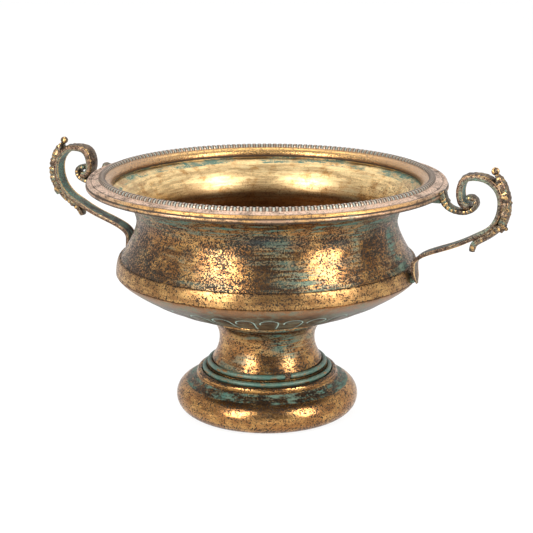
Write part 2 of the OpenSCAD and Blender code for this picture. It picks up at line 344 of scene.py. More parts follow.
class Finish:
    """A material that is put together from masks."""

    def __init__(self, name):
        self.material = bpy.data.materials.new(name)
        self.material.use_nodes = True
        self.tree = self.material.node_tree
        self.shader = self.tree.nodes["Principled BSDF"]
        self.colour = None
        place = self.node("TexCoord", {}, {}, "Object")
        self.place = self.node("VectorMath", {"operation": "SCALE"}, {0: place, "Scale": 1 / MM})
        split = self.node("SeparateXYZ", {}, {0: self.place})
        parts = split.socket.node.outputs
        self.x = Value(self, parts[0])
        self.y = Value(self, parts[1])
        self.z = Value(self, parts[2])
        self.r = (self.x * self.x + self.y * self.y) ** 0.5

    def node(self, kind, settings, inputs, output=0):
        """A node with its settings made first and then its sockets set or linked."""
        made = self.tree.nodes.new("ShaderNode" + kind)
        for key, value in settings.items():
            setattr(made, key, value)
        fill(made.inputs, inputs)
        return Value(self, made.outputs[output])

    def noise(self, pitch, detail=3, rough=0.6, stretch=(1, 1, 1), shift=0):
        """Noise whose lumps are about pitch millimetres across, drawn out by stretch."""
        scaled = self.node("Mapping", {}, {
            "Vector": self.place, "Location": (shift, shift * 0.7, shift * 1.3),
            "Scale": tuple(1 / (pitch * s) for s in stretch)})
        return self.node("TexNoise", {}, {
            "Vector": scaled, "Scale": 1.0, "Detail": detail, "Roughness": rough})

    def toward(self, turn):
        """How far a place lies, in millimetres, towards a turn in degrees from the front."""
        angle = math.radians(FRONT + turn)
        return self.x * math.cos(angle) + self.y * math.sin(angle)

    def spot(self, turn, height, wide, tall):
        """A soft oval mark on a turned piece, at a turn from the front and a height."""
        mark = self.toward(turn + 90).blur(0, wide) * self.z.blur(height, tall)
        return mark * self.toward(turn).step(0, 10)

    def mix(self, mask, below, above):
        """A colour that goes from below to above with the mask."""
        ends = [end if isinstance(end, Value) else (*end, 1) for end in (below, above)]
        return self.node("Mix", {"data_type": "RGBA"}, {0: mask, 6: ends[0], 7: ends[1]}, 2)

    def over(self, mask, colour):
        """Lays a colour over what is there, where the mask says."""
        self.colour = self.mix(mask, self.colour, colour)

    def attribute(self, name):
        return self.node("Attribute", {"attribute_name": name}, {}, "Fac")

    def surface(self, metal, rough, height, depth):
        """Links the finish; depth is how deep the height's relief is, in millimetres."""
        fill(self.shader.inputs,
             {"Base Color": self.colour, "Metallic": metal, "Roughness": rough})
        bump = self.node("Bump", {}, {"Height": height, "Strength": 1.0, "Distance": depth * MM})
        fill(self.shader.inputs, {"Normal": bump})
        return self.material


GOLD = (0.40, 0.185, 0.062)
BRIGHT_GOLD = (0.64, 0.355, 0.120)
INNER_GOLD = (1.0, 0.72, 0.35)
COPPER = (0.17, 0.078, 0.032)
PINK = (0.74, 0.52, 0.385)
BROWN = (0.055, 0.034, 0.020)
COPPER_PINK = (0.55, 0.34, 0.215)
UMBER = (0.022, 0.017, 0.013)
SLATE = (0.055, 0.060, 0.058)
VERDIGRIS = (0.12, 0.175, 0.125)
TEAL = (0.065, 0.15, 0.115)
BRIGHT_TEAL = (0.095, 0.215, 0.155)
PALE_GREEN = (0.27, 0.29, 0.25)


def antique(name, dirt=0.5, speckle=0.8, green=0.2, gold=GOLD, bright=BRIGHT_GOLD, marks=None):
    """Brass rubbed bright on top, sponged with brown speckle and brushed with verdigris.
    marks(finish) gives what differs by place: more dirt and painted shade, green, slate grey or
    roughness, less speckle (clean), the inside painted brighter gold, partly painted light and
    partly a rubbed inner face (inner), and painted shade deeper inside (deep)."""
    f = Finish(name)
    found = {"dirt": 0.0, "green": 0.0, "slate": None, "inner": None, "rough": 0.0,
             "clean": 0.0, "deep": None}
    if marks:
        found.update(marks(f))
    clouds = f.noise(38, 4, 0.55)
    patches = f.noise(11, 4, 0.6, shift=40)
    cluster = f.noise(4.0, 4, 0.7, stretch=(1.6, 1.6, 1), shift=57)
    sponge = f.noise(1.7, 2, 0.75, shift=7)
    grit = f.noise(0.95, 1, 0.6, shift=19)
    brushed = f.noise(2.2, 4, 0.7, stretch=(12, 12, 1), shift=3)
    film = f.noise(24, 4, 0.6, stretch=(1.6, 1.6, 0.7), shift=80)

    # brown_share carries random dirt together with the painted shade and painted dark reflections
    # that the marks give
    brown_share = ((clouds.step(0.66, 0.34) * 0.5 + patches.step(0.60, 0.40) * 0.4 + 0.35)
                   * (dirt - found["clean"]) + found["dirt"] * 0.6).held()
    green_share = (film.step(0.50, 0.66) * green * 1.6 + found["green"]).held()
    fine = sponge * 0.5 + grit * 0.5
    dots = (fine * 0.85 + cluster * 0.15 + brown_share * 0.03).step(0.535, 0.555)
    dots_share = (dots * (0.85 + 0.15 * brown_share) * (speckle - found["clean"] * 0.7)).held()

    f.colour = f.mix((patches * 0.5 + fine * 0.5).step(0.44, 0.56), gold, bright)
    # the inside painted brighter gold: partly painted light that the inner wall catches, partly a
    # rubbed inner face
    if found["inner"]:
        f.over(found["inner"], f.mix(patches.step(0.3, 0.5), bright, INNER_GOLD))
    # painted shade deeper inside the bowl
    if found["deep"]:
        f.over(found["deep"] * 0.85, (0.16, 0.085, 0.035))
    f.over((brushed.step(0.44, 0.58) * 0.8).held(), f.mix(0.6, f.colour, COPPER))
    grain = fine * 0.85 + cluster * 0.15 + (brown_share - 0.55) * 0.11
    brown_mask = (grain.step(0.485, 0.515) * brown_share.step(0.0, 0.15)).held()
    f.over(brown_mask, BROWN)
    if found["slate"]:
        slate = (found["slate"] * (brushed * 0.6 + fine * 0.4).step(0.40, 0.52)).held()
        f.over(slate, SLATE)
    f.over(dots_share, UMBER)
    green_mask = (green_share * (brushed * 0.6 + fine * 0.4).step(0.53, 0.46)).held()
    f.over(green_mask, f.mix(patches.step(0.35, 0.65), VERDIGRIS, TEAL))

    metal = (1 - 0.08 * brown_mask - 0.1 * dots_share) * (1 - 0.7 * green_mask)
    rough = (0.20 + 0.08 * brushed + 0.12 * brown_mask + 0.16 * dots_share
             + 0.3 * green_mask + found["rough"]).held()
    height = fine * 0.7 + brushed * 0.3 - 0.4 * dots_share + 0.2 * green_mask
    return f.surface(metal.held(), rough, height, 0.17)


def rim_finish():
    """Pinkish brown flange and collar; gold on the far side of the collar and copper pink on the
    near side as painted light, a painted highlight of gold along the front edge, and painted
    shade in the seams, creases and gutter and under the roll.
    """
    f = Finish("rim antique brass")
    clouds = f.noise(22, 4, 0.6)
    sponge = f.noise(1.7, 4, 0.72, shift=7)
    grit = f.noise(0.7, 2, 0.7, shift=19)
    brushed = f.noise(3.5, 4, 0.7, stretch=(3, 3, 1), shift=3)
    slope = f.r.step(MOUTH_R + 5, MOUTH_R + 8.5)
    front = f.toward(0) * (1 / RIM_R)
    # painted light: the collar gold on the far side, where it faces the lamps, and copper pink on
    # the near side
    f.colour = f.mix(front.step(-0.86, -0.45) * 0.6, (0.70, 0.42, 0.155), COPPER_PINK)
    f.over(slope, PINK)
    # painted shade: darker copper towards the collar's foot
    foot = f.z.step(LIP_Z + 5.2, LIP_Z + 2.0) * f.r.step(MOUTH_R + 6, MOUTH_R + 3)
    f.over(foot * 0.8, COPPER)
    # painted highlight: gold along the outer edge at the front
    outer = f.r.step(RIM_R - 4.6, RIM_R - 3.9)
    f.over(outer * front.step(0.30, 0.85), BRIGHT_GOLD)
    wash = outer * f.z.step(STEP_C[1] - 0.9, STEP_C[1] - 1.6)
    f.over(wash * clouds.step(0.30, 0.60), COPPER_PINK)
    # painted shade in the collar's seam, in the step's creases, under the roll and in the gutter
    seam = f.z.step(LIP_Z + 2.0, LIP_Z + 0.7) * f.r.step(MOUTH_R + 5, MOUTH_R + 2)
    creases = (f.r.step(RIM_R - 3.4, RIM_R - 2.6)
               * f.z.band(STEP_C[1] - 1.9, STEP_C[1] - 0.7, 0.3))
    under = f.z.step(ROLL_C[1] + 0.1, ROLL_C[1] - 1.2)
    gutter = f.r.band(STEP_C[0] - 2.6, STEP_C[0] - 1.7, 0.3)
    dirt = (seam + creases + under * 0.9 + gutter * 0.7).held()
    specks = (sponge * 0.5 + grit * 0.5).step(0.49, 0.44)
    film = clouds.step(0.60, 0.40) * slope
    sides = front.step(0.85, 0.30)
    brown = (dirt + specks * (0.62 + 0.2 * sides)
             + film * brushed.step(0.55, 0.42) * (0.5 + 0.3 * sides)).held()
    f.over(brown, BROWN)
    green = (f.noise(17, 4, 0.6, shift=60).step(0.52, 0.68) * slope
             * brushed.step(0.48, 0.6) * 0.55).held()
    f.over(green, VERDIGRIS)
    metal = (0.95 - 0.4 * brown) * (1 - 0.8 * green)
    rough = 0.25 + 0.14 * slope + 0.2 * brown + 0.2 * green
    height = sponge * 0.6 + grit * 0.4 - brown * 0.3
    return f.surface(metal.held(), rough.held(), height, 0.14)


def notch_finish():
    """The notched bead: rubbed ridges, painted shade on the notches' sides and pale green left in
    the notches.
    """
    f = Finish("notched bead")
    turn = f.node("Math", {"operation": "ARCTAN2"}, {0: f.y, 1: f.x})
    place = f.node("Math", {"operation": "FRACT"}, {0: turn * (NOTCHES / FULL_TURN)})
    off = f.node("Math", {"operation": "ABSOLUTE"}, {0: place - 0.5})
    notch = off.step(0.33, 0.42)
    grit = f.noise(0.9, 3, 0.7, shift=19)
    wear_and_shade = f.noise(26, 3, 0.6, shift=33)
    f.colour = f.mix(grit.step(0.40, 0.6), (0.60, 0.46, 0.36), (0.36, 0.23, 0.14))
    f.over(grit.step(0.47, 0.40) * 0.6, BROWN)
    # painted shade on the sides of each notch
    edge = off.band(0.13, 0.36, 0.05)
    f.over(edge * 0.9, UMBER)
    fill = (notch * wear_and_shade.step(0.30, 0.55) + notch * 0.45).held()
    f.over(fill, PALE_GREEN)
    metal = 0.85 - 0.3 * edge - 0.8 * fill
    rough = 0.36 + 0.3 * fill + 0.1 * edge
    return f.surface(metal.held(), rough, grit, 0.12)


def neck_marks(f):
    """Dark round the waist and low down, brushed green under the rim, a green streak beside the
    handles' feet that is partly patina and partly a painted reflection of the handle, a painted
    dark reflection at the front, the inside painted brighter and painted shade deeper inside.
    """
    brushed = f.noise(3.0, 4, 0.7, stretch=(14, 14, 1), shift=23)
    side = f.noise(40, 3, 0.5, shift=11)
    inside = f.attribute("inside")
    high = f.z.step(LIP_Z - 30, LIP_Z - 8)
    waist = f.z.band(NECK_Z + 14, LIP_Z - 18, 8)
    low = f.z.step(NECK_Z + 13, NECK_Z + 1)
    green = (high * brushed.step(0.44, 0.54) * 1.1 + waist * side.step(0.50, 0.62) * 0.6
             + low * side.step(0.44, 0.58) * 0.4 + f.spot(12, NECK_Z + 10, 16, 9) * 0.7
             + f.spot(38, NECK_Z + 40, 14, 7) * 0.6 + f.spot(-34, LIP_Z - 12, 22, 7) * 0.6)
    # green streak beside each handle's foot: partly patina, partly a painted reflection of the
    # green handle
    streak = (f.y.blur(-9, 4) * f.z.band(NECK_Z - 2, NECK_Z + 34, 8)
              + f.y.blur(0, 7) * f.z.step(NECK_Z + 12, NECK_Z + 2))
    # darker round the waist and low down; the spot at turn 2, at the front, is a painted dark
    # reflection of the camera's side between the two highlights
    dirt = (waist * side.step(0.62, 0.36) * 0.55 + low * 0.55 - high * 0.12
            + f.spot(2, NECK_Z + 20, 16, 22) * 0.6 + f.spot(62, NECK_Z + 30, 18, 20)
            + f.spot(-62, NECK_Z + 8, 30, 12) * 0.8)
    slate = f.spot(1, LIP_Z - 23, 24, 4.6) * 1.3 + f.spot(30, LIP_Z - 27, 16, 3) * 0.8
    ring = f.z.band(LIP_Z - 4.5, LIP_Z + 3, 0.7) * inside * side.step(0.42, 0.52)
    # painted shade deeper inside the bowl
    deep = f.z.step(LIP_Z - 12, LIP_Z - 30)
    inner_dirt = f.spot(90, LIP_Z - 25, 60, 30) * 0.35
    # inner: the inside painted brighter gold, partly painted light and partly a rubbed inner face
    return {"dirt": dirt * (1 - 0.85 * inside) + inside * inner_dirt,
            "green": (green + streak * 0.8) * (1 - 0.75 * inside) + ring,
            "slate": slate * (1 - inside), "inner": inside, "rough": inside * 0.12,
            "clean": inside * 0.62, "deep": inside * deep}


def band_marks(f):
    """Darker along both edges of the band, and a painted dark reflection low at the front."""
    edges = f.z.step(BAND_Z + 1.3, BAND_Z + 0.3) + f.z.step(NECK_Z - 1.2, NECK_Z - 0.2)
    # the spot at the front is a painted dark reflection between the two highlights
    return {"dirt": edges * 0.7 + f.spot(2, BAND_Z + 5, 20, 12) * 0.25, "rough": 0.08}


def stem_marks(f):
    """Green patches on one side of the stem, brown above the ring, darker under the collar and a
    painted dark reflection at the front.
    """
    side = f.noise(26, 3, 0.5, shift=15)
    foot = f.z.step(FOOT_H + 10, FOOT_H + 6)
    top = f.z.step(DISH_Z - 10, DISH_Z - 6)
    green = (f.spot(26, FOOT_H + 27, 15, 11) + f.spot(-4, FOOT_H + 36, 18, 5) * 0.6
             + side.step(0.50, 0.60) * 0.55)
    # the spot near the front is a painted dark reflection between the two highlights
    dirt = foot * 0.55 + top * 0.45 + f.spot(8, FOOT_H + 24, 16, 16) * 0.5
    return {"dirt": dirt, "green": green}


def collar_marks(f):
    """Verdigris on one half of the bead, and painted shade on its underside."""
    return {"green": f.spot(30, DISH_Z - 2, 30, 9) * 1.2,
            # painted shade on the underside of the bead
            "dirt": f.z.step(DISH_Z - 3.4, DISH_Z - 4.4) * 0.9}


def foot_marks(f):
    """Dark green hollow between two gilt rolls, darker low on the big roll and at the ring's seat,
    and a painted dark reflection across the front of the big roll between its two highlights.
    """
    hollow = f.z.band(FOOT_H - 17.5, FOOT_H - 8.8, 0.8) * f.r.step(FOOT_R - 7.5, FOOT_R - 9.5)
    mottled = f.noise(8, 4, 0.65, shift=31)
    bottom = f.z.step(10, 3)
    seat = f.z.band(FOOT_H - 5.2, FOOT_H - 3.2, 0.6)
    # front: painted dark reflection across the big roll between its two highlights
    front = f.spot(2, 23, 44, 4) * 0.9
    return {"dirt": hollow * 1.6 + bottom * 0.6 + seat + front,
            "green": hollow * mottled.step(0.38, 0.54)}


def wire_finish():
    """Green ring wire with dark edges, gilt where a cloth has caught it."""
    f = Finish("verdigris wire")
    patches = f.noise(11, 4, 0.65, shift=12)
    grit = f.noise(0.8, 3, 0.7, shift=19)
    streak = f.noise(1.6, 3, 0.6, stretch=(6, 6, 1), shift=9)
    f.colour = f.mix(patches.step(0.4, 0.6), TEAL, VERDIGRIS)
    wear = (streak.step(0.54, 0.62) * patches.step(0.46, 0.56)).held()
    f.over(wear, GOLD)
    dark = (grit.step(0.50, 0.42) * 0.75).held()
    f.over(dark, UMBER)
    return f.surface((0.15 + 0.75 * wear).held(), 0.40 + 0.1 * grit, grit, 0.1)


def solder_finish():
    f = Finish("dark solder")
    grit = f.noise(0.9, 4, 0.75, shift=19)
    crust = grit.step(0.5, 0.62)
    f.colour = f.mix(crust, UMBER, GOLD)
    return f.surface((0.3 + 0.65 * crust).held(), 0.5 - 0.2 * crust, grit, 0.3)


def cast_finish():
    """Cast handle: verdigris on the inner faces, brown outside, gilt along the edges."""
    f = Finish("cast antique brass")
    green = f.attribute("green")
    gilt = f.attribute("gilt")
    patches = f.noise(7, 4, 0.65, shift=12)
    sponge = f.noise(1.3, 4, 0.75, shift=7)
    grit = f.noise(0.6, 3, 0.7, shift=19)
    fine = sponge * 0.5 + grit * 0.5
    f.colour = f.mix((patches * 0.4 + fine * 0.6).step(0.42, 0.56),
                     (0.042, 0.030, 0.023), (0.27, 0.160, 0.105))
    film = (patches.step(0.46, 0.60) * sponge.step(0.44, 0.56) * 0.55).held()
    f.over(film, VERDIGRIS)
    rub = (fine.step(0.53, 0.60) * patches.step(0.42, 0.58) * 0.8).held()
    f.over(rub, GOLD)
    green_mask = (green * (0.35 + patches.step(0.40, 0.56) * 0.75) + green.step(0.05, 0.3)
                  * patches.step(0.58, 0.66) * sponge.step(0.45, 0.55) * 0.45).held()
    f.over(green_mask, f.mix(sponge.step(0.4, 0.6), TEAL, BRIGHT_TEAL))
    dots = (fine.step(0.50, 0.46) * 0.85).held()
    f.over(dots, UMBER)
    gilt_mask = ((gilt * 0.9 + fine * 2.0 + patches * 0.8).step(1.74, 2.06)
                 * gilt.step(0.12, 0.35)).held()
    f.over(gilt.step(-0.08, -0.5) * 0.8, f.mix(patches.step(0.4, 0.6), UMBER, TEAL))
    f.over(gilt_mask, (0.66, 0.41, 0.165))
    metal = (0.95 * (1 - green_mask) + gilt_mask).held()
    rough = (0.42 + 0.14 * green_mask - 0.14 * gilt_mask).held()
    height = sponge * 0.6 + grit * 0.4
    return f.surface(metal, rough, height, 0.2)


def steel_finish():
    """Dulled zinc plate with brown specks."""
    f = Finish("zinc plate")
    spangle = f.noise(1.8, 3, 0.6, shift=5)
    grit = f.noise(0.5, 3, 0.6, shift=19)
    f.colour = f.mix(spangle.step(0.4, 0.6), (0.20, 0.20, 0.195), (0.33, 0.33, 0.32))
    f.over(grit.step(0.54, 0.66) * 0.6, (0.20, 0.12, 0.065))
    return f.surface(0.9, 0.32 + 0.2 * spangle, grit, 0.05)


def rubber_finish():
    f = Finish("black rubber")
    grit = f.noise(0.4, 3, 0.6, shift=19)
    f.colour = f.mix(grit.step(0.4, 0.6), (0.012, 0.012, 0.013), (0.03, 0.03, 0.03))
    return f.surface(0.0, 0.65 + 0.15 * grit, grit, 0.06)


# Bowl and rim

def rim():
    """The rim: collar, flange, step and rolled edge in one turned sheet."""
    collar = arc((MOUTH_R + 6.4, LIP_Z + 1.6), 6.4, 180, 110, 12)
    face = [(MOUTH_R, LIP_Z + 0.4)] + collar
    bed = [(BEAD_C[0] - BEAD_R + 0.3, BEAD_C[1] + 0.2), (BEAD_C[0], BEAD_C[1] + 0.9),
           (BEAD_C[0] + BEAD_R - 0.2, BEAD_C[1] + 0.1)]
    flange = bezier([bed[-1], (BEAD_C[0] + 4.6, BEAD_C[1] - 0.6),
                     (STEP_C[0] - 3.2, STEP_C[1] + 1.3), (STEP_C[0] - 0.9, STEP_C[1] + 0.75)], 8, 1)
    top = face + bed + flange
    step = arc(STEP_C, STEP_R, 118, -12, 10)
    roll = arc(ROLL_C, ROLL_R, 47, -205, 24)
    back = beside(face + bed + flange[:-2], -RIM_WALL)
    outline = top + step + roll + back[::-1]
    piece = turned_solid("rim_ring_sheet", outline, 288)
    dressed(piece, rim_finish(), "rim_brass", "rim_ring", crease=50)


def notched_bead():
    """The half-round bead on the rim, pressed with a row of notches: one notch, copied round."""
    steps = 8
    wedge = FULL_TURN / NOTCHES
    shrink = {0: 0.76, 1: 0.83, 2: 0.98}
    piece = drawn("rim_bead_notched", arc(BEAD_C, BEAD_R, 205, -25, 11), closed=True)
    turned_about(steps, wedge)
    leave_edit()
    for corner in piece.data.vertices:
        turn = abs(math.atan2(corner.co.y, corner.co.x)) / wedge * steps
        near = min(round(turn), steps - round(turn))
        centre = Vector((corner.co.x, corner.co.y, 0)).normalized() * BEAD_C[0] * MM
        centre.z = (BEAD_C[1] + 0.4) * MM
        if corner.co.z > centre.z:
            corner.co = centre + (corner.co - centre) * shrink.get(near, 1.0)
    enter_edit()
    copied_round(NOTCHES)
    dressed(piece, notch_finish(), "rim_brass", "rim_ring", crease=40)


def neck():
    """The concave neck with its lip and the skirt behind the belly band."""
    line = [(SKIRT_R, BAND_Z), (SKIRT_R, BAND_Z + LAP_H), (NECK_FOOT_R, NECK_Z)]
    line += bezier([(NECK_FOOT_R, NECK_Z), (NECK_FOOT_R - 5.6, NECK_Z + 8.5),
                    (WAIST_R, NECK_Z + NECK_H * 0.39), (WAIST_R, NECK_Z + NECK_H * 0.52)], 22, 1)
    line += bezier([(WAIST_R, NECK_Z + NECK_H * 0.52), (WAIST_R, NECK_Z + NECK_H * 0.65),
                    (WAIST_R + 7, LIP_Z - 4), (LIP_R, LIP_Z - 1.7)], 22, 1)
    line.append((LIP_R, LIP_Z + LIP_RISE))
    piece = turned_sheet("neck_sheet", line, BOWL_WALL)
    painted(piece, "inside", lambda corner: float(corner.normal.xy.dot(corner.co.xy) < 0))
    finish = antique("neck antique brass", dirt=0.62, speckle=0.78, green=0.1, marks=neck_marks)
    dressed(piece, finish, "aged_brass", "neck_shell")


def belly_band():
    """The polished band over the bowl's joint, with softened edges."""
    line = [(SKIRT_R + EDGE_GAP, BAND_Z), (BELLY_R - 0.6, BAND_Z), (BELLY_R - 0.1, BAND_Z + 0.5)]
    line += bezier([(BELLY_R, BAND_Z + 1), (BELLY_R - 0.3, BAND_Z + 4.7),
                    (BELLY_R - 0.7, BAND_Z + 8.8), (BELLY_R - 2.2, NECK_Z - 0.6)], 12)
    line += [(BELLY_R - 2.8, NECK_Z), (NECK_FOOT_R + EDGE_GAP, NECK_Z + EDGE_GAP),
             (SKIRT_R + EDGE_GAP, BAND_Z + LAP_H)]
    piece = turned_solid("belly_band_sheet", line)
    finish = antique("band rubbed brass", dirt=0.3, speckle=0.95, green=0.0, marks=band_marks,
                     bright=(0.58, 0.34, 0.125), gold=(0.36, 0.19, 0.07))
    dressed(piece, finish, "polished_brass", "belly_band")


# Where the grid that is bent into one petal's sector has its rows (radii) and its columns
# (turns, in petals), closest where the chased line runs
PETAL_TURN = math.radians(FRONT + 0.9)
FLOOR_ROWS = [BOLT_HOLE_R, 20, 35, FLOOR_R - 1]
CHASED_ROWS = [98.2 + 0.6 * k for k in range(24)]
PETAL_ROWS = (FLOOR_ROWS + [FLOOR_R, 54, 59, 64, 70, 76, 82, 88, 93, 97] + CHASED_ROWS
              + [113.4, 116, 119, 122, 124.5, 126.1])
PETAL_COLUMNS = (-0.5, -0.46, -0.435, -0.41, -0.385, -0.36, -0.32, -0.25, -0.17, -0.08, 0.0, 0.08,
                 0.17, 0.25, 0.31, 0.35, 0.375, 0.4, 0.425, 0.45, 0.475, 0.5)


def dish_curve():
    """The underside's curve, from the floor's edge up to the belly."""
    return [(FLOOR_R, DISH_Z), (FLOOR_R + 34, DISH_Z + 5.3),
            (BELLY_R - 2.4, BAND_Z - 6.9), (BELLY_R, BAND_Z - 0.1)]


def dish_height(radius):
    """Height of the underside at a radius."""
    curve = dish_curve()
    low, high = 0.0, 1.0
    for _ in range(26):
        middle = (low + high) / 2
        if bezier_at(curve, middle)[0] < radius:
            low = middle
        else:
            high = middle
    return bezier_at(curve, low)[1]


def petal_line():
    """A chased petal: over the top from its left end, then down its right side. Each point has
    a turn, in petals, and a radius."""
    top = [(0.385 * math.cos(math.radians(a)), 102.4 + 8.2 * math.sin(math.radians(a)))
           for a in range(196, -10, -11)]
    return top + [(0.388, 97), (0.392, 85), (0.4, 70), (0.41, 58), (0.42, 52)]


def line_distance(turn, radius, line):
    """Distance in millimetres from a point of a petal's sector to its chased line."""
    pitch = radius * FULL_TURN / PETALS
    here = Vector((turn * pitch, radius))
    best = 99.0
    for a, b in zip(line, line[1:]):
        p = Vector((a[0] * pitch, a[1]))
        q = Vector((b[0] * pitch, b[1]))
        share = min(max((here - p).dot(q - p) / (q - p).length_squared, 0), 1)
        best = min(best, (here - p - share * (q - p)).length)
    return best


def dish():
    """The chased underside with the bowl's floor: one petal's sector bent to shape and copied
    round."""
    line = petal_line()
    sector = FULL_TURN / PETALS
    groove, depth, start_dot = 0.75, 0.5, 0.9

    def place(i, j):
        radius = PETAL_ROWS[i] if i < len(PETAL_ROWS) else BELLY_R
        turn = PETAL_COLUMNS[j]
        off = line_distance(turn, radius, line)
        start = Vector(((turn - line[0][0]) * radius * sector, radius - line[0][1])).length
        cut = max(math.exp(-(off / groove) ** 2), 1.2 * math.exp(-(start / start_dot) ** 2))
        swell = smooth(60, 96, radius) * smooth(110, 104, radius)
        puff = 0.35 * math.exp(-(turn / 0.26) ** 2) * swell
        if i == len(PETAL_ROWS):
            cut = 0
        angle = PETAL_TURN + turn * sector
        height = dish_height(radius) + depth * cut - puff
        where = (radius * math.cos(angle), radius * math.sin(angle), height)
        return where, cut, 0.0

    piece = bent_grid("bowl_dish_chased", len(PETAL_ROWS), len(PETAL_COLUMNS) - 1, place)
    enter_edit()
    copied_round(PETALS)
    turned_over(piece, lambda face: -face.normal.z)
    walled(piece, BOWL_WALL)
    painted(piece, "inside", lambda corner: float(corner.normal.z > 0))
    cuts = piece.data.attributes["green"]
    for corner in piece.data.vertices:
        if corner.normal.z > 0:
            cuts.data[corner.index].value = 0
    dressed(piece, under_finish(), "dark_brass", "bowl_dish", crease=60)


def under_finish():
    """Brown-green underside with pale verdigris left in the chased lines."""
    f = Finish("chased dark brass")
    cut = f.attribute("green")
    clouds = f.noise(26, 4, 0.6, shift=3)
    mottled = f.noise(7, 4, 0.65, shift=31)
    sponge = f.noise(1.7, 4, 0.75, shift=7)
    grit = f.noise(0.7, 2, 0.7, shift=19)
    f.colour = f.mix((mottled * 0.5 + sponge * 0.5).step(0.44, 0.58), BROWN, COPPER)
    f.over(f.r.step(BELLY_R - 13, BELLY_R - 2) * 0.6, GOLD)
    green = (mottled.step(0.42, 0.60) * clouds.step(0.35, 0.6) * 0.7).held()
    f.over(green, VERDIGRIS)
    dots = grit.step(0.47, 0.38) * 0.6
    f.over(dots, UMBER)
    shade = cut.step(0.03, 0.22) * cut.step(0.60, 0.36)
    f.over(shade * 0.75, UMBER)
    line = cut.step(0.42, 0.75) * (0.7 + 0.3 * sponge)
    f.over(line.held(), (0.38, 0.52, 0.44))
    inside = f.attribute("inside")
    # the bowl's floor inside: mottled dark brown and gold, partly painted shade deep in the bowl
    wear_and_shade = f.mix((mottled * 0.4 + sponge * 0.6).step(0.40, 0.60), (0.085, 0.046, 0.020), GOLD)
    wear_and_shade = f.mix(dots * 0.6, wear_and_shade, UMBER)
    f.over(inside, wear_and_shade)
    green = green * (1 - inside)
    metal = (0.75 - 0.4 * dots + 0.2 * inside) * (1 - 0.8 * green) * (1 - line)
    rough = 0.38 + 0.15 * green + 0.25 * line
    return f.surface(metal.held(), rough.held(), sponge * 0.6 + grit * 0.4, 0.15)


# Stem and foot

def stem_collar():
    """The bead between the bowl and the stem."""
    radius = (collar_high.z - collar_low.z) / 2
    centre = (collar_high.x - radius, collar_high.z - radius)
    outline = [(centre[0] + radius * 0.96 * math.cos(a), centre[1] + radius * math.sin(a))
               for a in (math.radians(15 * k) for k in range(24))]
    piece = turned_solid("stem_collar_bead", outline)
    finish = antique("collar antique brass", dirt=0.3, speckle=0.7, green=0.3, marks=collar_marks)
    dressed(piece, finish, "aged_brass", "stem_collar")


def stem():
    """The waisted stem, turned in under the bowl."""
    ring_low, ring_high = node_box("stem_ring_upper")
    wire = ring_high.z - ring_low.z
    skirt_r = ring_high.x - wire - EDGE_GAP
    waist_z = FOOT_H + STEM_H * 0.52
    top_z = collar_low.z - 0.2
    line = [(skirt_r, FOOT_H), (skirt_r, FOOT_H + wire + 1.4)]
    line += bezier([(skirt_r, FOOT_H + wire + 1.4), (skirt_r - 3.4, FOOT_H + 10.5),
                    (STEM_R, waist_z - 6.5), (STEM_R, waist_z)], 16, 1)
    line += bezier([(STEM_R, waist_z), (STEM_R, waist_z + 7), (STEM_R + 2.7, top_z - 4.4),
                    (FLOOR_R - 2.6, top_z)], 16, 1)
    spigot = FLOOR_R - 4.5
    line += [(spigot, top_z), (spigot, DISH_Z - 0.05), (BOLT_HOLE_R, DISH_Z - 0.05)]
    piece = turned_sheet("stem_sheet", line, FOOT_WALL, 192)
    finish = antique("stem antique brass", dirt=0.3, speckle=0.95, green=0.1, marks=stem_marks)
    dressed(piece, finish, "aged_brass", "stem")


def ring(name, node, joint_at, finish, joint=2.4):
    """A ring bent from wire, with blunt ends at its joint."""
    low, high = node_box(node)
    radius = (high.z - low.z) / 2
    centre = (high.x - radius, high.z - radius)
    piece = started(name, bpy.ops.mesh.primitive_circle_add, vertices=20, radius=radius * MM,
                    fill_type="NGON", location=(centre[0] * MM, 0, centre[1] * MM),
                    rotation=(math.pi / 2, 0, 0))
    bpy.ops.mesh.inset(thickness=0.3 * MM)
    turned_about(180, FULL_TURN - math.radians(joint))
    leave_edit()
    piece.data.transform(Matrix.Rotation(math.radians(joint_at + joint / 2), 4, "Z"))
    dressed(piece, finish, "verdigris_wire", node)


def solder_blob(name, node, finish, lumps, seed):
    """A lumpy bead of solder over a ring's joint."""
    low, high = node_box(node)
    centre = (low + high) / 2 * MM
    piece = started(name, bpy.ops.mesh.primitive_ico_sphere_add, subdivisions=5,
                    radius=(high - low).length * 0.5 * MM, location=centre)
    leave_edit()
    for corner in piece.data.vertices:
        out = corner.co - centre
        lump = noise.noise(out / MM * lumps + Vector((seed, 0, 0)))
        fine = noise.noise(out / MM * lumps * 2.7 + Vector((seed, 5, 0)))
        corner.co = centre + out * (0.86 + 0.28 * lump + 0.12 * fine)
    dressed(piece, finish, "solder", node)


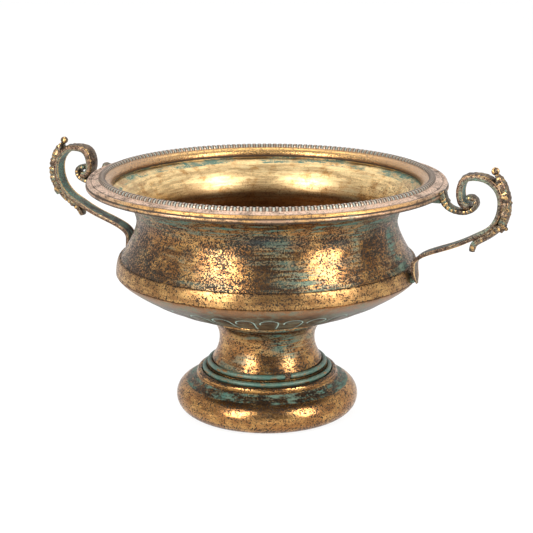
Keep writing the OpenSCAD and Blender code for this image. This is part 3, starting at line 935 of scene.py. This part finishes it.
def foot():
    """The foot: small roll, hollow and big roll, spun from one sheet."""
    low, high = node_box("stem_ring_lower")
    wire = high.z - low.z
    roll_r = 13.2
    roll_c = (FOOT_R - roll_r, roll_r)
    bead_r = 2.7
    bead_c = (high.x + bead_r - 1, FOOT_H - 6.5)
    step_r = high.x - wire - EDGE_GAP
    line = [(roll_c[0] - 7, 0)]
    line += arc(roll_c, roll_r, -90, 66, 30)
    line += bezier([(roll_c[0] + 4.4, roll_c[1] + roll_r - 0.6),
                    (roll_c[0] + 1.5, roll_c[1] + roll_r + 0.8),
                    (bead_c[0] + 5.4, bead_c[1] - 4.1), (bead_c[0] + 2.5, bead_c[1] - 1.4)], 12)
    line += arc(bead_c, bead_r, -10, 146, 16)
    line += [(step_r, FOOT_H - 5), (step_r, FOOT_H), (40, FOOT_H)]
    piece = turned_sheet("foot_sheet", line, FOOT_WALL)
    finish = antique("foot antique brass", dirt=0.25, speckle=0.9, green=0.05, marks=foot_marks)
    dressed(piece, finish, "aged_brass", "foot")


# Handles

def walk(x, z, heading, moves, pace=0.8):
    """Stations along arcs (radius, turn) and straights (0, length): x, z and heading."""
    stations = []
    for radius, amount in moves:
        length = math.radians(abs(amount)) * radius if radius else amount
        count = max(2, math.ceil(length / pace))
        turn = amount / count if radius else 0
        half = math.radians(abs(turn)) / 2
        chord = 2 * radius * math.sin(half) if radius else length / count
        for _ in range(count):
            stations.append((x, z, heading))
            middle = math.radians(heading + turn / 2)
            x += chord * math.cos(middle)
            z += chord * math.sin(middle)
            heading += turn
    stations.append((x, z, heading))
    return stations


def evenly(stations, marks, count):
    """Count even steps along a walked line whose stations lie at the marks."""
    frames = []
    k = 0
    for step in range(count + 1):
        distance = marks[-1] * step / count
        while k < len(marks) - 2 and marks[k + 1] <= distance:
            k += 1
        share = (distance - marks[k]) / max(marks[k + 1] - marks[k], 1e-6)
        frames.append(tuple(p + (q - p) * share for p, q in zip(stations[k], stations[k + 1])))
    return frames


def bar(name, stations, around, shape, pace=0.9):
    """A bar bent along a walked line. shape(distance, share, angle) gives how far across and
    how far to the left of the line its skin is, and how green and how gilded."""
    marks = [0.0]
    for a, b in zip(stations, stations[1:]):
        marks.append(marks[-1] + math.hypot(b[0] - a[0], b[1] - a[1]))
    length = marks[-1]
    rows = max(8, math.ceil(length / pace))
    frames = evenly(stations, marks, rows)

    def place(i, j):
        k = min(max(i - 1, 0), rows)
        x, z, heading = frames[k]
        if i in (0, rows + 2):
            across, left, green, gilt = 0.0, 0.0, 0.3, 0.3
        else:
            share = k / rows
            across, left, green, gilt = shape(share * length, share, FULL_TURN * j / around)
        h = math.radians(heading)
        return (x - left * math.sin(h), across, z + left * math.cos(h)), green, gilt

    return bent_grid(name, rows + 2, around, place)


def rounded(angle, half_width, half_thick, square=0.4):
    """Skin of a flattened bar at an angle round it."""
    c, s = math.cos(angle), math.sin(angle)
    across = half_width * math.copysign(abs(c) ** square, c)
    left = half_thick * math.copysign(abs(s) ** (square + 0.15), s)
    return across, left


FOOT_TIP = (BELLY_R + 4.3, BAND_Z + 0.6)
SCROLL_START = (RIM_R + 5.3, ROLL_C[1] - 41.2)
SCROLL_HEAD = 20.5
STRAP_W = 14.0
STRAP_T = 5.7
LINK_W = 11.4


def strap_stations():
    """The strap: up from the belly, out along the arm and round the scroll into the volute."""
    foot_part = walk(*FOOT_TIP, 104, [(0, 7), (30, -12), (0, 2.2)])
    start = foot_part[-1]
    lead = math.radians(SCROLL_HEAD)
    curve = [start[:2], (start[0] - 0.6, start[1] + 8.2),
             (SCROLL_START[0] - 16 * math.cos(lead), SCROLL_START[1] - 16 * math.sin(lead)),
             SCROLL_START]
    arm = []
    steps = 48
    for i in range(1, steps):
        here = bezier_at(curve, i / steps)
        there = bezier_at(curve, i / steps + 0.002)
        heading = math.degrees(math.atan2(there[1] - here[1], there[0] - here[0]))
        arm.append((*here, heading))
    scroll = walk(*SCROLL_START, SCROLL_HEAD,
                  [(130, 8.5), (0, 11), (29, 67), (18, 72), (25, 20), (0, 1.2), (8.4, 58),
                   (17.4, 27), (20, 18), (4.8, 90)])
    return foot_part + arm + scroll


def swelling(start, middle, end, share, middle_at=0.15):
    """A thickness that goes from start to middle early on, and then evenly to end."""
    if share < middle_at:
        return start + (middle - start) * share / middle_at
    return middle + (end - middle) * (share - middle_at) / (1 - middle_at)


def strap_shape(distance, share, angle):
    """Hollow, green inner face between two beaded gilt edges; a low ridge outside."""
    thick = swelling(3.0, STRAP_T * 0.86, STRAP_T, share)
    thick *= 0.45 + 0.55 * smooth(0, 7, distance)
    thick *= 1 + 0.24 * smooth(0.52, 0.72, share)
    width = STRAP_W / 2 * smooth(-5, 9, distance)
    across, left = rounded(angle, width, thick / 2)
    side = abs(across) / width
    beading = 0.5 + 0.5 * math.cos(FULL_TURN * distance / 2.9)
    edge = smooth(0.72, 0.95, side)
    c, s = abs(math.cos(angle)), abs(math.sin(angle))
    corner = math.exp(-((s - c) / 0.7) ** 2)
    scrolled = smooth(0.34, 0.46, share)
    if left > 0:
        left -= min(1.6, thick * 0.30) * (1 - side ** 6)
        green = (0.12 + 0.88 * scrolled) * (1 - 0.55 * edge)
    else:
        ridge = math.exp(-(across / 1.5) ** 2)
        veins = math.cos(FULL_TURN * (distance - 0.9 * abs(across)) / 4.2)
        relief = (0.45 * ridge + 0.22 * veins * (1 - edge)) * scrolled
        left -= relief - 0.35 * (1 - edge) * (1 - ridge)
        green = 0.12 * (1 - veins) * (1 - edge)
    across += math.copysign(0.16 * beading * edge * scrolled, across)
    gilt = corner * (0.55 + 0.30 * beading * scrolled + 0.45 * (1 - scrolled))
    if left > 0 and side < 0.9:
        gilt -= 0.9 * (1 - edge) * (1 - scrolled)
    if left < 0:
        gilt = max(gilt * 0.8, 0.35 * math.exp(-(across / 1.5) ** 2) * scrolled)
    return across, left, green, min(gilt, 1.0)


def lump(along, across, pitch, layer):
    """An uneven rise and fall, about -0.8 to 0.8, that repeats nowhere."""
    return noise.noise(Vector((along / pitch, across / pitch, layer))) * 1.6


def leaf_shape(half_width, thickness, lobes, backing):
    """An acanthus leaf: midrib, slanting veins and a lobed outline that comes to a tip. The
    thickness is given at its start, early on and at its end."""

    def shape(distance, share, angle):
        thick = swelling(*thickness, share)
        lobe = abs(math.sin(math.pi * lobes * share))
        taper = (1 - 0.45 * smooth(0.75, 1, share)) * (0.72 + 0.28 * smooth(0, 0.18, share))
        width = half_width * taper * (0.86 + 0.16 * lobe)
        across, left = rounded(angle, width, thick / 2, 0.7)
        side = abs(across) / width
        vein = (0.45 * math.cos(FULL_TURN * (distance + 0.9 * abs(across)) / 4.3)
                + lump(distance, across, 1.9, 3))
        rib = math.exp(-(across / 1.1) ** 2)
        outer = smooth(-0.2, 0.2, left)
        inner = 1 - outer
        swell = (0.62 * vein * smooth(0.08, 0.35, side) + 0.65 * rib) * smooth(0, 0.08, share)
        left += swell * outer
        left -= backing * inner * smooth(0.03, 0.16, share) * smooth(1.05, 0.98, share)
        gilt = outer * (0.7 * smooth(0.1, 0.8, vein) + 0.3 * rib) + 0.3 * smooth(0.85, 1, side)
        green = inner * 0.25 + 0.55 * smooth(-0.25, -0.8, vein) * (1 - rib)
        return across, left, green, min(gilt, 1.0)

    return shape


def link_shape(start, end):
    """The link: a bar with rows of small scales."""

    def shape(distance, share, angle):
        across, left = rounded(angle, LINK_W / 2, (start + (end - start) * share) / 2, 0.6)
        scale = (0.5 * math.cos(FULL_TURN * distance / 3.3) * math.cos(FULL_TURN * across / 3.8)
                 + 0.8 * lump(distance, across, 2.0, 7))
        side = abs(across) / (LINK_W / 2)
        gilt = smooth(0.1, 0.7, scale) * 0.6 + 0.2 * smooth(0.88, 1, side)
        return across * (1 + 0.04 * scale), left * (1 + 0.085 * scale), 0.22 - 0.35 * scale, gilt

    return shape


def ball(name, x, z, radius, lobes):
    """A small lobed ball, such as the curled tip of a leaf."""
    piece = started(name, bpy.ops.mesh.primitive_uv_sphere_add, segments=32, ring_count=18,
                    radius=radius * MM, location=(x * MM, 0, z * MM))
    leave_edit()
    centre = Vector((x, 0, z)) * MM

    def lobe(corner):
        out = corner.co - centre
        flat = max(1 - abs(out.z) / (radius * MM), 0)
        return math.cos(lobes * math.atan2(out.y, out.x)) * flat ** 0.5

    rises = [lobe(corner) for corner in piece.data.vertices]
    painted(piece, "green", lambda corner: 0.25 * smooth(0.2, -0.8, rises[corner.index]))
    painted(piece, "gilt", lambda corner: 0.75 * smooth(-0.5, 0.3, rises[corner.index]))
    for corner, rise in zip(piece.data.vertices, rises):
        corner.co = centre + (corner.co - centre) * (0.88 + 0.14 * rise)
    return piece


def boss():
    """The lug between the strap's foot and the belly, with bevelled corners."""
    inner = BELLY_R - 1.8
    outer = FOOT_TIP[0] - 1.5
    piece = started("boss", bpy.ops.mesh.primitive_cube_add, size=1,
                    location=((inner + outer) / 2 * MM, 0, (BAND_Z + 5) * MM),
                    scale=((outer - inner) * MM, 9 * MM, 7.4 * MM))
    bpy.ops.mesh.bevel(offset=0.9 * MM, segments=3, affect="EDGES")
    leave_edit()
    painted(piece, "green", lambda corner: 0.8)
    painted(piece, "gilt", lambda corner: 0.05)
    return piece


def handles():
    """Both handles: one is modelled and the other is its copy turned half a turn."""
    knob = (RIM_R + 41.5, RIM_TOP + 14.2)
    upper = walk(knob[0] + 0.8, knob[1] - 2.2, -45, [(37.7, -40), (35, -27), (3, 75)])
    lower = walk(RIM_R + 49.2, ROLL_C[1] - 18.9, -130,
                 [(0, 2.7), (60, -15), (0, 7), (8, 45), (0, 2.5)])
    link = walk(ROLL_C[0] + 2.3, ROLL_C[1] + 0.4, -80,
                [(13.8, 55), (19, 23), (0, 1.4), (13, 37), (9, 25), (4.6, 150)])
    fork = walk(ROLL_C[0] + 0.9, ROLL_C[1] + 3.6, -66, [(0, 5), (16, 24)])
    parts = [
        bar("strap", strap_stations(), 40, strap_shape),
        bar("leaf_upper", upper, 28, leaf_shape(6.3, (2.4, 5, 2), 6, 4.2)),
        bar("leaf_lower", lower, 28, leaf_shape(6.0, (3, 4.4, 1.2), 4, 2.6)),
        bar("link", link, 24, link_shape(5.2, 4.2)),
        bar("fork", fork, 24, link_shape(8.4, 5.2)),
        ball("knob", *knob, 3.5, 3),
        ball("curl", upper[-1][0], upper[-1][1], 1.9, 5),
        boss(),
    ]
    chosen(*parts)
    bpy.ops.object.join()
    right = parts[0]
    right.name = "handle_right_cast"
    bpy.ops.object.duplicate()
    left = bpy.context.active_object
    left.name = "handle_left_cast"
    left.data.transform(Matrix.Rotation(math.pi, 4, "Z"))
    finish = cast_finish()
    dressed(right, finish, "cast_brass", "handle_right", crease=45)
    dressed(left, finish, "cast_brass", "handle_left", crease=45)


# Small CAD pieces keep their shapes

def dress_fixings():
    """Steel for the fixings, rubber for the sealing washer, verdigris for the lugs."""
    plated = ("foot_bridge", "centre_bolt", "bolt_washer", "nut_washer", "centre_nut",
              "handle_screws", "screw_washers", "rim_wire")
    finishes = dict.fromkeys(plated, steel_finish())
    finishes["sealing_washer"] = rubber_finish()
    finishes["rim_lugs"] = wire_finish()
    for name, finish in finishes.items():
        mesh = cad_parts[name].data
        mesh.materials.clear()
        mesh.materials.append(finish)


# Studio

# The camera: its turn about the object and its dip in radians, its places in metres and its
# lens in millimetres
CAMERA_TURN = math.radians(22)
CAMERA_AWAY = 1.1605
CAMERA_HEIGHT = 0.4298
CAMERA_ASIDE = -0.0005
CAMERA_DIP = 0.25756
CAMERA_LENS = 96.0


def put(name, data, location, rotation):
    """Puts a lamp or a camera in the scene."""
    holder = bpy.data.objects.new(name, data)
    bpy.context.scene.collection.objects.link(holder)
    holder.location = location
    holder.rotation_euler = rotation
    return holder


def camera():
    data = bpy.data.cameras.new("camera")
    data.lens = CAMERA_LENS
    data.sensor_width = 36
    data.clip_end = 60
    back = Vector((math.sin(CAMERA_TURN), -math.cos(CAMERA_TURN), 0))
    right = Vector((math.cos(CAMERA_TURN), math.sin(CAMERA_TURN), 0))
    place = back * CAMERA_AWAY + right * CAMERA_ASIDE + Vector((0, 0, CAMERA_HEIGHT))
    turn = (math.pi / 2 - CAMERA_DIP, 0, CAMERA_TURN)
    bpy.context.scene.camera = put("camera", data, place, turn)


def softbox(name, turn, height, away, width, tall, power):
    """A softbox turned about the object from the camera's direction, in degrees."""
    data = bpy.data.lights.new(name, "AREA")
    data.shape = "RECTANGLE"
    data.size = width
    data.size_y = tall
    data.energy = power
    angle = CAMERA_TURN + math.radians(turn)
    place = Vector((math.sin(angle) * away, -math.cos(angle) * away, height))
    aim = Vector((0, 0, 0.12)) - place
    put(name, data, place, aim.to_track_quat("-Z", "Y").to_euler())


def surround():
    """A white room, bright behind the object and dimmer on the camera's side."""
    world = bpy.data.worlds.new("studio")
    bpy.context.scene.world = world
    world.use_nodes = True
    nodes = world.node_tree.nodes
    links = world.node_tree.links
    way = nodes.new("ShaderNodeTexCoord")
    dot = nodes.new("ShaderNodeVectorMath")
    dot.operation = "DOT_PRODUCT"
    dot.inputs[1].default_value = (math.sin(CAMERA_TURN), -math.cos(CAMERA_TURN), 0)
    links.new(way.outputs["Generated"], dot.inputs[0])
    fade = nodes.new("ShaderNodeMapRange")
    fill(fade.inputs, {"From Min": -0.3, "From Max": 0.6, "To Min": 0.95, "To Max": 0.16})
    links.new(dot.outputs["Value"], fade.inputs["Value"])
    links.new(fade.outputs["Result"], nodes["Background"].inputs["Strength"])
    nodes["Background"].inputs["Color"].default_value = (1, 1, 1, 1)


def paper_floor():
    """A white floor that glows a little, so that it stays white under dim light."""
    floor = started("floor", bpy.ops.mesh.primitive_plane_add, size=30)
    leave_edit()
    paper = bpy.data.materials.new("white paper")
    paper.use_nodes = True
    fill(paper.node_tree.nodes["Principled BSDF"].inputs,
         {"Base Color": (0.14, 0.14, 0.14, 1), "Emission Color": (1, 1, 1, 1),
          "Emission Strength": 0.86, "Roughness": 0.9})
    floor.data.materials.append(paper)


camera()
rim()
notched_bead()
neck()
belly_band()
dish()
stem_collar()
stem()
green_wire = wire_finish()
ring("stem_ring_upper_wire", "stem_ring_upper", -48.4, green_wire)
ring("stem_ring_lower_wire", "stem_ring_lower", 118, green_wire)
solder = solder_finish()
solder_blob("ring_solder_upper_blob", "ring_solder_upper", solder, 0.9, 3)
solder_blob("ring_solder_lower_blob", "ring_solder_lower", solder, 0.7, 8)
foot()
handles()
dress_fixings()
softbox("softbox_right", 50, 0.75, 1.3, 0.5, 1.2, 23)
softbox("softbox_left", -40, 0.75, 1.3, 0.5, 1.2, 26)
softbox("softbox_back", 180, 1.5, 0.6, 1.4, 0.7, 6)
surround()
paper_floor()
bpy.context.scene.view_settings.view_transform = "Standard"
